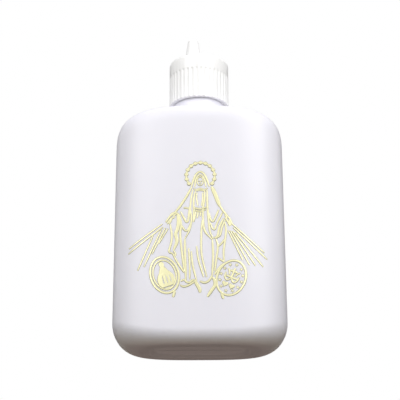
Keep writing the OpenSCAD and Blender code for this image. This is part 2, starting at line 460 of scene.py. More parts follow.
def polyethylene_foam(colour):
    """Foamed PE sheet: matt, greyish white, with tiny closed cells that dimple it."""
    material, tree = new_material("PE foam, die cut")
    place = add_node(tree, "ShaderNodeTexCoord").outputs["Object"]
    # Cells 0.3 mm across
    cells = add_node(tree, "ShaderNodeTexVoronoi", {"Scale": 1 / (0.3 * MM), "Vector": place})
    shade = tuple(0.85 * c for c in colour)
    mix = add_node(tree, "ShaderNodeMix", {"A": (*shade, 1.0), "B": (*colour, 1.0), "Factor": cells},
                   data_type="RGBA")
    bump = add_node(tree, "ShaderNodeBump", {"Strength": 0.4, "Distance": 0.05 * MM, "Height": cells})
    shader = add_node(tree, "ShaderNodeBsdfPrincipled",
                      {"Base Color": mix, "Roughness": 0.8, "Normal": bump, "IOR": 1.4})
    add_node(tree, "ShaderNodeOutputMaterial", {"Surface": shader})
    return material


def stamped_foil(colour, edge):
    """Pale gold foil, hot stamped: a bright metal face, darker on its pressed edge, and darker still where
    that edge faces down, which is painted shade.
    """
    material, tree = new_material("gold foil, hot stamped")
    coords = add_node(tree, "ShaderNodeTexCoord").outputs
    rim = add_node(tree, "ShaderNodeAttribute", attribute_name="rim").outputs["Fac"]
    lean = add_node(tree, "ShaderNodeSeparateXYZ", {"Vector": coords["Normal"]}).outputs["Z"]
    # Painted shade: an edge that faces down takes more of the dark edge colour, as if it were in its own
    # shade
    shade = add_node(tree, "ShaderNodeMapRange", {"From Min": 0.3, "From Max": -0.3, "To Min": 0.7,
                                                  "To Max": 1.0, "Value": lean})
    wide = add_node(tree, "ShaderNodeMath", {0: rim, 1: 1.6}, operation="MULTIPLY")
    full = add_node(tree, "ShaderNodeMath", {0: wide, 1: 1.0}, operation="MINIMUM")
    # Share of the dark edge colour: the pressed edge, deepened by the painted shade where it faces down
    dark = add_node(tree, "ShaderNodeMath", {0: full, 1: shade}, operation="MULTIPLY")
    mix = add_node(tree, "ShaderNodeMix", {"A": (*colour, 1.0), "B": (*edge, 1.0), "Factor": dark},
                   data_type="RGBA")
    # Uneven pressing, 1.2 mm across, shows as patches of more and less gloss
    press = add_node(tree, "ShaderNodeTexNoise",
                     {"Scale": 1 / (1.2 * MM), "Detail": 2.0, "Vector": coords["Object"]})
    rough = add_node(tree, "ShaderNodeMapRange", {"To Min": 0.28, "To Max": 0.42, "Value": press})
    # The pressed edge is dull
    metal = add_node(tree, "ShaderNodeMapRange", {"To Min": 0.6, "To Max": 0.0, "Value": dark})
    shader = add_node(tree, "ShaderNodeBsdfPrincipled",
                      {"Base Color": mix, "Metallic": metal, "Roughness": rough})
    add_node(tree, "ShaderNodeOutputMaterial", {"Surface": shader})
    return material


MATERIALS = {}


def material_of(settings, name):
    """The material of that short name, made once."""
    makers = {
        "bottle": lambda: blown_polyethylene(settings.bottle.colour, settings.bottle.cloud),
        "cap": lambda: moulded_polypropylene(settings.cap.colour),
        "spout": lambda: moulded_soft_polyethylene(settings.cap.spout_colour),
        "liner": lambda: polyethylene_foam(settings.cap.liner_colour),
        "foil": lambda: stamped_foil(settings.print.colour, settings.print.edge),
    }
    if name not in MATERIALS:
        MATERIALS[name] = makers[name]()
    return MATERIALS[name]


# The bottle

# Soft corner between the shoulder and the collar
COLLAR_FILLET = 0.6 * MM
# Straight wall next to the heel and to the shoulder, which keeps their shading apart from the faces
WALL_MARGIN = 0.6 * MM
# Rings on the slope into the hollow of the base, as shares of its width
HOLLOW_STEPS = (1.0, 0.85, 0.6, 0.4, 0.15, 0.0)
# Rings of the heel's curve, outside and inside; the shoulder has twice as many
OUTER_STEPS = 12
INNER_STEPS = 6


def body_ring(half_w, half_d, power, side_z, face_z):
    """One ring of the body, with its own heights at the sides and at the faces."""
    points = []
    for t in round_steps(BODY_POINTS):
        c, s = math.cos(t), math.sin(t)
        x = half_w * math.copysign(abs(c) ** (2 / power), c)
        y = half_d * math.copysign(abs(s) ** (2 / power), s)
        points.append(Vector((x, y, side_z + (face_z - side_z) * s * s)))
    return points


def body_skin(b, depth, top_r, heel_steps):
    """The rings of a skin that lies a depth inside the body's outer face, from the base up."""
    foot_a = b.width / 2 - b.side_heel
    foot_b = b.depth / 2 - b.face_heel
    side_r = b.side_heel - depth
    face_r = b.face_heel - depth
    full_a = foot_a + side_r
    full_b = foot_b + face_r
    top = b.shoulder - depth
    side_z = b.shoulder - b.side_shoulder
    face_z = b.shoulder - b.face_shoulder
    n = b.squareness
    rings = []
    # The slope from the foot band into the hollow, as a soft S
    for u in HOLLOW_STEPS:
        inset = b.foot_band + b.hollow_run * u
        rise = u * u * (3 - 2 * u) * b.hollow + depth
        rings.append(body_ring(foot_a - inset, foot_b - inset, n, rise, rise))
    for i in range(heel_steps + 1):
        q = math.pi / 2 * i / heel_steps
        out, up = math.sin(q), 1 - math.cos(q)
        rings.append(body_ring(foot_a + side_r * out, foot_b + face_r * out, n,
                               depth + side_r * up, depth + face_r * up))
    rings.append(body_ring(full_a, full_b, n, depth + side_r + WALL_MARGIN, depth + face_r + WALL_MARGIN))
    rings.append(body_ring(full_a, full_b, n, side_z - WALL_MARGIN, face_z - WALL_MARGIN))
    # The shoulder goes over from the oval to the round collar
    shoulder_steps = 2 * heel_steps
    for i in range(shoulder_steps + 1):
        u = i / shoulder_steps
        q = math.pi / 2 * u
        out = max(0.0, math.cos(q)) ** (2 / b.fullness)
        up = math.sin(q) ** (2 / b.fullness)
        rings.append(body_ring(top_r + (full_a - top_r) * out, top_r + (full_b - top_r) * out,
                               n + (2 - n) * u ** 3,
                               side_z + (top - side_z) * up, face_z + (top - face_z) * up))
    return rings


def outer_skin(b):
    """The rings of the body's outer face, up to the collar."""
    return body_skin(b, 0.0, b.neck / 2 + b.land + COLLAR_FILLET, OUTER_STEPS)


def neck_rings(b):
    """The rings of collar and neck, from the shoulder over the lip and down the bore."""
    neck_r = b.neck / 2
    land_r = neck_r + b.land
    land_z = b.shoulder + b.collar
    bore_r = neck_r - b.neck_wall
    wide_r = bore_r + b.neck_wall / 2
    fillet = 0.5 * MM
    lip = 0.35 * MM
    edge = 0.04 * MM
    step = 0.6 * MM
    profile = arc((land_r + COLLAR_FILLET, b.shoulder + COLLAR_FILLET), COLLAR_FILLET, 260, 180)
    profile += arc((land_r - edge, land_z - edge), edge, 0, 90)
    profile += arc((neck_r + fillet, land_z + fillet), fillet, 270, 180)
    profile += arc((neck_r - lip, b.lip - lip), lip, 0, 90)
    profile += arc((bore_r + lip, b.lip - lip), lip, 90, 180)
    # The bore opens into the wider space under the land
    profile += [(bore_r, land_z + step), (bore_r, land_z), (wide_r, land_z), (wide_r, land_z - step)]
    return [circle(r, z, BODY_POINTS) for r, z in profile]


def helix(radius, sink, start_z, pitch, turns, fade=0.15, steps=72):
    """A screw path whose ends run into the wall; sink is how far they go, inwards if positive."""
    count = math.ceil(turns * steps)
    points = []
    for i in range(count + 1):
        turn = turns * i / count
        edge = min(1.0, min(turn, turns - turn) / fade)
        r = radius - sink * (1 - edge)
        t = 2 * math.pi * turn
        points.append(Vector((r * math.cos(t), r * math.sin(t), start_z + pitch * turn)))
    return points


def bead_tree():
    """A round moulded bead that follows a path."""
    tree, given = new_tree("moulded_bead", {"Bead Radius": "Float", "Sides": "Int"})
    curve = add_node(tree, "GeometryNodeMeshToCurve", {"Mesh": given["Geometry"]})
    section = add_node(tree, "GeometryNodeCurvePrimitiveCircle",
                       {"Resolution": given["Sides"], "Radius": given["Bead Radius"]})
    swept = add_node(tree, "GeometryNodeCurveToMesh",
                     {"Curve": curve, "Profile Curve": section, "Fill Caps": True})
    return end_tree(tree, swept, given["Material"])


def bead(name, paths, radius, sides, material):
    """A round bead along paths, with its faces outwards."""
    tree = bpy.data.node_groups.get("moulded_bead") or bead_tree()
    obj = run_tree(name, path_mesh(paths), tree,
                   {"Bead Radius": radius, "Sides": sides, "Material": material})
    turn_outwards(obj)
    smooth(obj, 60)
    return obj


class BuildBottle(bpy.types.Operator):
    """Build the blown bottle with its neck"""

    bl_idname = "water_bottle.bottle"
    bl_label = "Bottle"

    def execute(self, context):
        settings = context.scene.water_bottle
        b = settings.bottle
        inner = body_skin(b, b.wall, b.neck / 2 - b.neck_wall / 2, INNER_STEPS)
        rings = outer_skin(b) + neck_rings(b) + inner[::-1]
        base = Vector((0, 0, b.hollow))
        floor = Vector((0, 0, b.hollow + b.wall))
        bottle = new_object("blown_bottle", loft(rings, base, floor))
        smooth(bottle, 40)
        dress(bottle, material_of(settings, "bottle"), "bottle", "bottle_white", "bottle")
        return {"FINISHED"}


class BuildThreads(bpy.types.Operator):
    """Build the screw threads of the neck and of the cap"""

    bl_idname = "water_bottle.threads"
    bl_label = "Screw threads"

    def execute(self, context):
        settings = context.scene.water_bottle
        b = settings.bottle
        ridge = 0.85 * MM
        sink = 0.95 * MM
        below_lip = 1.9 * MM
        sides = 20
        neck_crest = b.neck / 2 + 1.1 * MM
        cap_crest = b.neck / 2 + 0.3 * MM
        start_z = b.lip - below_lip - b.turns * b.pitch
        path = helix(neck_crest - ridge, sink, start_z, b.pitch, b.turns)
        neck = bead("neck_thread", [path], ridge, sides, material_of(settings, "bottle"))
        dress(neck, material_of(settings, "bottle"), "bottle", "bottle_white")
        # The cap's thread runs midway between the turns of the neck's
        path = helix(cap_crest + ridge, -sink, start_z - b.pitch / 2, b.pitch, b.turns)
        cap = bead("cap_thread", [path], ridge, sides, material_of(settings, "cap"))
        dress(cap, material_of(settings, "cap"), "cap", "cap_white")
        return {"FINISHED"}


class BuildParting(bpy.types.Operator):
    """Build the moulded parting line on the narrow sides and in the hollow of the base"""

    bl_idname = "water_bottle.parting"
    bl_label = "Parting line"

    def execute(self, context):
        settings = context.scene.water_bottle
        b = settings.bottle
        # The line leaves out the foot band, so that the bottle stands flat, and ends under the collar
        clear = 0.3 * MM
        rings = [r for r in outer_skin(b)[len(HOLLOW_STEPS):] if r[0].z > clear][:-2]
        right = [r[0] for r in rings]
        left = [r[BODY_POINTS // 2] for r in rings]
        margin = 1.0 * MM
        reach = b.width / 2 - b.side_heel - b.foot_band - b.hollow_run - margin
        hollow = [Vector((x, 0, b.hollow)) for x in (-reach, -reach / 2, 0.0, reach / 2, reach)]
        seam = bead("parting_line", [right, left, hollow], b.seam, 8, material_of(settings, "bottle"))
        dress(seam, material_of(settings, "bottle"), "bottle", "bottle_white")
        return {"FINISHED"}


# The cap, its liner and its spout

# Fit of the spout's barrel in its slot, and the pins that it turns on
PLAY = 0.2 * MM
BARREL_OVER_SPOUT = 0.15 * MM
PIN_RADIUS = 1.2 * MM
PIN_LENGTH = 1.4 * MM
SOCKET_RADIUS = 1.25 * MM
# How far a cutter reaches past what it cuts
PAST = 1.0 * MM
# Points round the skirt for each finger groove, and the soft upper end of a groove
POINTS_PER_GROOVE = 14
SOFT_END = 0.9 * MM


def rounded_box(lo, hi):
    """A cutter with rounded upright corners whose top edges flare out at the height hi.z."""
    corner = 0.4 * MM
    flare = 0.25 * MM
    steps = 6
    levels = [(lo.z, 0.0)]
    for i in range(steps + 1):
        a = math.pi / 2 * i / steps
        levels.append((hi.z - flare * (1 - math.sin(a)), flare * (1 - math.cos(a))))
    levels.append((hi.z + PAST, flare))
    left, right = lo.x + corner, hi.x - corner
    front, back = lo.y + corner, hi.y - corner
    rings = []
    for z, grow in levels:
        ring = []
        for cx, cy, first in ((right, back, 0), (left, back, 90), (left, front, 180), (right, front, 270)):
            bend = arc((cx, cy), corner + grow, first, first + 90, 5)
            ring += [Vector((x, y, z)) for x, y in bend]
        rings.append(ring)
    mid = (lo + hi) / 2
    return loft(rings, Vector((mid.x, mid.y, lo.z)), Vector((mid.x, mid.y, hi.z + PAST)))


def rod(radius, start, end, chamfer=0.0, count=48):
    """A round rod between two points, with chamfered ends where a chamfer is given."""
    axis = (end - start).normalized()
    side = axis.orthogonal().normalized()
    other = axis.cross(side)
    steps = [(start, radius), (end, radius)]
    if chamfer > 0:
        steps = [(start, radius - chamfer), (start + axis * chamfer, radius),
                 (end - axis * chamfer, radius), (end, radius - chamfer)]
    rings = [[centre + side * r * math.cos(a) + other * r * math.sin(a) for a in round_steps(count)]
             for centre, r in steps]
    return loft(rings, start, end)


def slot_bottom(c):
    """The height of the floor of the spout's slot."""
    return LINER_HI.z + c.slot_floor


def pivot_point(c):
    """The middle of the spout's pivot, before it is turned to its fold, and the barrel's radius."""
    barrel_r = c.spout / 2 + BARREL_OVER_SPOUT
    return Vector((-c.shift, 0.0, slot_bottom(c) + PLAY + barrel_r)), barrel_r


def groove_tree():
    """Upright finger grooves with soft upper ends, pressed at even steps into a turned skirt."""
    sizes = ("Count", "Skirt Radius", "Round", "Depth", "Top", "Soft End")
    tree, given = new_tree("finger_grooves", dict.fromkeys(sizes, "Float"))
    place = add_node(tree, "GeometryNodeInputPosition")
    split = add_node(tree, "ShaderNodeSeparateXYZ", {"Vector": place}).outputs
    # A groove fades out towards the plain band
    start = add_node(tree, "ShaderNodeMath", {0: given["Top"], 1: given["Soft End"]}, operation="SUBTRACT")
    fade = add_node(tree, "ShaderNodeMapRange",
                    {"Value": split["Z"], "From Min": start, "From Max": given["Top"],
                     "To Min": 1.0, "To Max": 0.0}, interpolation_type="SMOOTHSTEP")
    # Each step is its name, its operation and what that works on
    steps = (
        # Distance along the skirt from the middle of the nearest groove
        ("angle", "ARCTAN2", "Y", "X"),
        ("turn", "DIVIDE", "angle", 2 * math.pi),
        ("groove", "MULTIPLY", "turn", "Count"),
        ("share", "FRACT", "groove"),
        ("offset", "SUBTRACT", "share", 0.5),
        ("way round", "MULTIPLY", "Skirt Radius", 2 * math.pi),
        ("pitch", "DIVIDE", "way round", "Count"),
        ("away", "MULTIPLY", "offset", "pitch"),
        # The round bottom of a groove, and how deep it is there
        ("round squared", "POWER", "Round", 2.0),
        ("away squared", "MULTIPLY", "away", "away"),
        ("inside", "SUBTRACT", "round squared", "away squared"),
        ("open", "MAXIMUM", "inside", 0.0),
        ("bottom", "SQRT", "open"),
        ("kept", "SUBTRACT", "Round", "Depth"),
        ("sunk", "SUBTRACT", "bottom", "kept"),
        ("dip", "MAXIMUM", "sunk", 0.0),
        ("press", "MULTIPLY", "dip", "fade"),
        ("limit", "SUBTRACT", "Skirt Radius", "press"),
        # Points outside the groove's bottom move in to it
        ("x squared", "MULTIPLY", "X", "X"),
        ("y squared", "MULTIPLY", "Y", "Y"),
        ("sum", "ADD", "x squared", "y squared"),
        ("reach", "SQRT", "sum"),
        ("radius", "MAXIMUM", "reach", 1e-6),
        ("new radius", "MINIMUM", "radius", "limit"),
        ("scale", "DIVIDE", "new radius", "radius"),
        ("new x", "MULTIPLY", "X", "scale"),
        ("new y", "MULTIPLY", "Y", "scale"),
    )
    made = {**dict(given.items()), **dict(split.items()), "fade": fade}
    for name, operation, *terms in steps:
        feed = {i: made.get(term, term) for i, term in enumerate(terms)}
        made[name] = add_node(tree, "ShaderNodeMath", feed, operation=operation)
    where = add_node(tree, "ShaderNodeCombineXYZ",
                     {"X": made["new x"], "Y": made["new y"], "Z": split["Z"]})
    pressed = add_node(tree, "GeometryNodeSetPosition", {"Geometry": given["Geometry"], "Position": where})
    return end_tree(tree, pressed, given["Material"])


class BuildCap(bpy.types.Operator):
    """Build the grooved screw cap with the slot that its spout folds into"""

    bl_idname = "water_bottle.cap"
    bl_label = "Cap"

    def execute(self, context):
        settings = context.scene.water_bottle
        c = settings.cap
        groove_top = CAP_HI.z - c.plain_band
        cap = run_tree("screw_cap", self.blank(c, groove_top), groove_tree(),
                       {"Count": float(c.grooves), "Skirt Radius": c.radius,
                        "Round": c.groove_round, "Depth": c.groove_depth, "Top": groove_top,
                        "Soft End": SOFT_END, "Material": material_of(settings, "cap")})
        cut_shape(cap, self.cutters(c))
        smooth(cap, 30)
        dress(cap, material_of(settings, "cap"), "cap", "cap_white", "cap")
        return {"FINISHED"}

    def blank(self, c, groove_top):
        """The turned cap, with enough points round it for the grooves."""
        rim_z, deck_z, ceiling_z = CAP_LO.z, CAP_HI.z, LINER_HI.z
        skirt_r = c.radius - c.wall
        edge = 0.3 * MM
        bevel = 0.03 * MM
        # Extra points on the ceiling and in the skirt keep the shading flat there
        profile = [(skirt_r - 1.0 * MM, ceiling_z), (skirt_r, ceiling_z - 0.02 * MM),
                   (skirt_r, rim_z + 2.0 * MM), (skirt_r, rim_z + bevel), (skirt_r + bevel, rim_z)]
        profile += arc((c.radius - edge, rim_z + edge), edge, -90, 0)
        profile += [(c.radius, groove_top - SOFT_END + SOFT_END * i / 8) for i in range(9)]
        profile += arc((c.radius - c.top_round, deck_z - c.top_round), c.top_round, 0, 90, 12)
        return turned(profile, POINTS_PER_GROOVE * c.grooves)

    def cutters(self, c):
        """What is cut from the blank: slot, fingernail notch, pivot sockets and water hole."""
        pivot, barrel_r = pivot_point(c)
        slot_half = barrel_r + PLAY
        slot_z = slot_bottom(c)
        slot_end = pivot.x + (SPOUT_HI.z - pivot.z) + PLAY
        notch_half = 2.3 * MM
        notch_depth = 2.4 * MM
        # The flares end a hair over the deck, so that they cut it cleanly
        slot = rounded_box(Vector((pivot.x - slot_half, -slot_half, slot_z)),
                           Vector((slot_end, slot_half, CAP_HI.z + 0.02 * MM)))
        notch = rounded_box(Vector((slot_end - PAST, -notch_half, CAP_HI.z - notch_depth)),
                            Vector((c.radius + PAST, notch_half, CAP_HI.z + 0.03 * MM)))
        reach = Vector((0, barrel_r + PIN_LENGTH + PLAY, 0))
        sockets = rod(SOCKET_RADIUS, pivot - reach, pivot + reach)
        hole = rod(c.passage / 2, Vector((pivot.x, 0, LINER_HI.z - PAST)),
                   Vector((pivot.x, 0, slot_z + PAST)))
        meshes = (slot, notch, sockets, hole)
        for mesh in meshes:
            mesh.transform(Matrix.Rotation(c.fold, 4, "Z"))
        return [("DIFFERENCE", mesh) for mesh in meshes]


class BuildLiner(bpy.types.Operator):
    """Build the foam ring that seals the lip"""

    bl_idname = "water_bottle.liner"
    bl_label = "Liner"

    def execute(self, context):
        settings = context.scene.water_bottle
        b = settings.bottle
        outer_r = LINER_HI.x
        inner_r = b.neck / 2 - b.neck_wall + 0.3 * MM
        soft = 0.12 * MM
        low, high = LINER_LO.z + soft, LINER_HI.z - soft
        profile = []
        for r, z, first in ((outer_r - soft, low, -90), (outer_r - soft, high, 0),
                            (inner_r + soft, high, 90), (inner_r + soft, low, 180)):
            profile += arc((r, z), soft, first, first + 90, 3)
        liner = new_object("foam_liner", loft([circle(r, z) for r, z in profile]))
        smooth(liner, 50)
        dress(liner, material_of(settings, "liner"), "liner", "liner_foam", "liner")
        return {"FINISHED"}


class BuildSpout(bpy.types.Operator):
    """Build the tapered spout on its barrel and pins, standing open"""

    bl_idname = "water_bottle.spout"
    bl_label = "Spout"

    def execute(self, context):
        settings = context.scene.water_bottle
        c = settings.cap
        pivot, barrel_r = pivot_point(c)
        tip_z = SPOUT_HI.z
        spout_r, tip_r = c.spout / 2, c.tip / 2
        soft = 0.35 * MM
        chamfer = 0.15 * MM
        # Where the taper starts, a short bend softens the edge
        bend = 0.3 * MM
        profile = [(spout_r, pivot.z), (spout_r, tip_z - c.taper - bend),
                   (spout_r - 0.1 * bend, tip_z - c.taper + bend)]
        profile += arc((tip_r - soft, tip_z - soft), soft, 8, 90, 8)
        spout = new_object("flip_spout", turned(profile, 96, pivot.x))
        half = Vector((0, barrel_r, 0))
        reach = Vector((0, barrel_r + PIN_LENGTH, 0))
        # The passage opens out a little at the tip
        bore = c.passage / 2
        mouth = bore + 0.25 * MM
        hole = turned([(bore, pivot.z - barrel_r - PAST), (bore, tip_z - 0.3 * MM),
                       (bore + 0.06 * MM, tip_z - 0.12 * MM), (mouth, tip_z + 0.02 * MM),
                       (mouth, tip_z + PAST)], 48, pivot.x)
        cut_shape(spout, (
            ("UNION", rod(barrel_r, pivot - half, pivot + half, chamfer, 64)),
            ("UNION", rod(PIN_RADIUS, pivot - reach, pivot + reach, chamfer)),
            ("DIFFERENCE", hole),
        ))
        spout.data.transform(Matrix.Rotation(c.fold, 4, "Z"))
        smooth(spout, 30)
        dress(spout, material_of(settings, "spout"), "spout", "spout_white", "spout")
        return {"FINISHED"}


# The stamped print, drawn in millimetres on the front: X to the right and height over the table

# Each line is its width and the points that it passes through
VEIL = (
    (0.55, ((-2.7, 53.4), (-1.9, 56.3), (-0.9, 58.3), (0.3, 59.0), (1.5, 58.3), (2.5, 56.3),
            (3.4, 53.6))),
    (0.4, ((-1.6, 53.4), (-1.1, 56.4), (0.3, 57.9), (1.6, 56.5), (2.3, 53.4))),
    (0.4, ((-2.1, 53.0), (-1.2, 52.4), (0.3, 52.9), (1.8, 52.4), (2.8, 53.1))),
    (0.45, ((-1.5, 52.0), (0.3, 52.3), (2.2, 51.9))),
)
FACE = (
    (0.26, ((-0.75, 55.9), (-0.65, 54.9), (-0.2, 54.2), (0.3, 54.0), (0.8, 54.2), (1.2, 54.9),
            (1.3, 55.9))),
    (0.26, ((-0.75, 55.9), (-0.35, 56.8), (0.3, 57.1), (0.95, 56.8), (1.3, 55.9))),
    (0.2, ((-0.4, 55.65), (-0.15, 55.55), (0.08, 55.65))),
    (0.2, ((0.5, 55.65), (0.75, 55.55), (0.98, 55.65))),
    (0.16, ((0.3, 55.7), (0.34, 55.25), (0.24, 55.1))),
    (0.2, ((0.05, 54.75), (0.3, 54.68), (0.55, 54.75))),
)
MANTLE = (
    (0.65, ((-2.6, 53.4), (-4.6, 49.6), (-6.7, 46.3), (-8.6, 43.9))),
    (1.25, ((4.2, 53.6), (5.4, 50.6), (6.9, 46.4))),
    (0.6, ((6.7, 47.0), (8.0, 44.8), (9.6, 42.8))),
    (0.45, ((-2.2, 52.4), (-2.8, 49.2), (-3.1, 45.4), (-2.7, 42.0), (-3.3, 38.2), (-4.9, 35.0))),
    (0.4, ((-1.3, 52.0), (-1.9, 49.0), (-1.9, 45.0), (-2.1, 40.8))),
    (0.55, ((1.8, 52.2), (1.7, 49.0), (1.2, 45.7), (1.2, 41.6), (1.8, 37.6), (4.2, 34.6))),
    (0.5, ((2.6, 52.4), (2.7, 46.4), (3.1, 40.8), (3.5, 37.4), (4.5, 35.0))),
    (0.5, ((-5.4, 45.8), (-4.5, 45.9), (-3.4, 45.6))),
    (0.55, ((-6.4, 44.6), (-5.2, 42.2), (-4.5, 40.9), (-3.9, 41.2), (-3.6, 43.2), (-3.3, 46.4))),
    (0.5, ((-5.9, 39.6), (-5.2, 38.2), (-4.4, 37.7), (-3.7, 38.4), (-2.9, 40.6))),
    (0.5, ((3.2, 44.0), (3.8, 41.6), (4.4, 41.0), (5.1, 41.8), (6.5, 45.2))),
    (0.45, ((3.6, 40.6), (4.3, 38.6), (5.2, 38.3), (6.0, 40.6), (7.8, 44.2))),
    (0.55, ((4.6, 35.0), (6.0, 36.0), (6.7, 39.0), (8.2, 42.2))),
    (0.45, ((5.4, 35.0), (6.9, 36.2), (7.6, 39.0), (8.7, 41.6))),
)
SLEEVE_FALLS = (
    (0.55, ((-10.3, 42.6), (-9.3, 43.8), (-8.1, 44.2), (-7.0, 43.4), (-6.5, 41.6), (-6.3, 39.4))),
    (1.0, ((-7.5, 43.6), (-7.1, 41.2), (-7.4, 38.4), (-8.0, 36.6), (-7.6, 34.0), (-8.7, 30.9))),
    (0.55, ((-6.7, 43.4), (-6.2, 40.0), (-6.5, 36.6), (-6.2, 33.0), (-5.6, 27.6), (-5.1, 23.6))),
    (0.5, ((-9.9, 40.2), (-9.3, 36.4), (-9.5, 33.6), (-10.2, 30.6), (-9.2, 29.9), (-8.0, 29.0))),
    (0.5, ((-9.0, 29.8), (-7.2, 26.4), (-5.2, 23.2))),
    (0.45, ((-8.7, 30.9), (-8.2, 30.0), (-7.9, 29.0))),
    (0.5, ((5.5, 34.9), (6.1, 32.0), (5.5, 27.6), (5.0, 23.6))),
    (0.45, ((6.2, 32.2), (7.3, 33.2), (8.6, 35.0))),
    (0.5, ((8.6, 40.6), (8.9, 37.6), (8.4, 33.6), (8.0, 30.4), (8.1, 27.0))),
    (0.45, ((6.1, 28.2), (7.0, 27.6), (8.1, 26.8))),
    (0.5, ((7.9, 26.3), (6.2, 24.4), (4.9, 22.4))),
)
SASH = (
    (0.55, ((-2.0, 46.0), (0.2, 45.5), (2.4, 46.1))),
    (0.45, ((-2.0, 45.2), (0.2, 44.6), (2.2, 45.3))),
    (0.45, ((-1.2, 44.6), (-1.5, 43.0), (-2.0, 40.9))),
    (0.35, ((-0.5, 44.4), (-0.6, 43.4), (-0.8, 42.2))),
    (0.35, ((0.3, 44.3), (0.3, 43.6), (0.2, 42.8))),
    (0.35, ((1.1, 44.5), (1.1, 43.6), (1.2, 42.6))),
    (0.3, ((-0.8, 51.4), (-1.0, 49.4), (-0.5, 46.6))),
    (0.3, ((1.1, 51.4), (1.1, 49.2), (0.7, 46.6))),
)
ROBE = (
    (0.6, ((-4.9, 35.0), (-4.9, 29.6), (-4.7, 25.0), (-4.6, 20.6))),
    (0.45, ((-3.7, 31.6), (-3.3, 26.0), (-3.3, 20.8))),
    (0.45, ((-2.8, 30.6), (-2.3, 25.6), (-1.1, 20.6))),
    (0.45, ((-1.0, 32.4), (-0.4, 27.6), (1.3, 21.6))),
    (0.45, ((0.9, 41.4), (0.6, 36.4), (0.7, 29.2), (2.3, 21.6))),
    (0.55, ((4.3, 34.6), (4.5, 28.4), (4.1, 22.0))),
    (0.55, ((-6.3, 20.2), (-5.2, 20.7), (-4.3, 19.9), (-3.3, 19.8), (-2.2, 20.6), (-0.9, 20.4))),
    (0.55, ((-6.5, 18.9), (-5.2, 18.4), (-3.4, 19.0), (-1.6, 20.2))),
    (0.6, ((0.0, 20.2), (1.5, 19.7), (2.8, 20.2), (3.7, 21.3), (4.1, 22.2))),
)
TAILS = (
    (1.05, ((-1.6, 20.4), (-0.8, 18.9), (-0.1, 17.6), (0.1, 16.3))),
    (0.95, ((4.2, 21.6), (5.0, 20.2), (4.9, 18.6), (3.7, 16.8), (2.5, 14.9))),
    (0.75, ((-8.2, 17.0), (-8.5, 15.9), (-8.8, 14.8))),
    (0.75, ((7.2, 16.2), (7.4, 15.2), (7.8, 14.2))),
)
HANDS = (
    (0.5, ((-8.5, 43.9), (-9.7, 43.1), (-10.7, 41.9), (-11.4, 40.8))),
    (0.45, ((-8.3, 42.6), (-9.2, 42.3), (-10.2, 41.3), (-10.9, 40.3))),
    (0.45, ((-7.7, 43.9), (-8.6, 43.2), (-8.5, 42.2))),
    (0.4, ((-9.4, 41.9), (-9.8, 41.0), (-10.3, 40.2))),
    (0.5, ((9.4, 43.0), (10.0, 42.2), (10.6, 41.0), (11.0, 39.9))),
    (0.45, ((8.6, 42.4), (9.1, 41.6), (9.7, 40.6), (10.2, 39.4))),
    (0.45, ((8.4, 43.3), (9.0, 42.8), (9.2, 42.0))),
    (0.4, ((9.9, 41.6), (10.2, 40.6), (10.6, 39.6))),
)
# Each ray runs from a hand to its far end
RAYS = (
    ((-12.5, 40.3), (-23.8, 32.4)),
    ((-12.3, 39.2), (-24.0, 30.6)),
    ((-15.6, 36.4), (-20.7, 24.4)),
    ((-12.8, 38.4), (-18.6, 25.5)),
    ((-11.5, 38.9), (-15.9, 29.8)),
    ((-10.6, 38.6), (-13.7, 33.4)),
    ((11.0, 40.1), (21.7, 30.5)),
    ((11.3, 38.9), (22.6, 28.3)),
    ((11.9, 37.2), (21.2, 25.6)),
    ((11.0, 37.7), (18.6, 25.8)),
    ((10.3, 37.8), (16.6, 25.9)),
    ((9.6, 37.8), (14.3, 27.6)),
)
# A medallion: middle, half width, half height, and lean of its top to the right in degrees
LEFT_MEDALLION = ((-11.65, 22.5), 4.6, 6.35, -18.0)
RIGHT_MEDALLION = ((10.45, 21.4), 4.65, 6.15, 23.0)
# Points of the open ring round the head
HALO_ARC = arc((0.4, 57.5), 4.85, -36, 216, 24)
# Share of the foil's height that its edges go into the plastic
FOIL_SINK = 0.4
# Shares of the pressed edge's width that lie inside the outline of a line and of a patch
LINE_EDGE = 0.2
PATCH_EDGE = 0.4


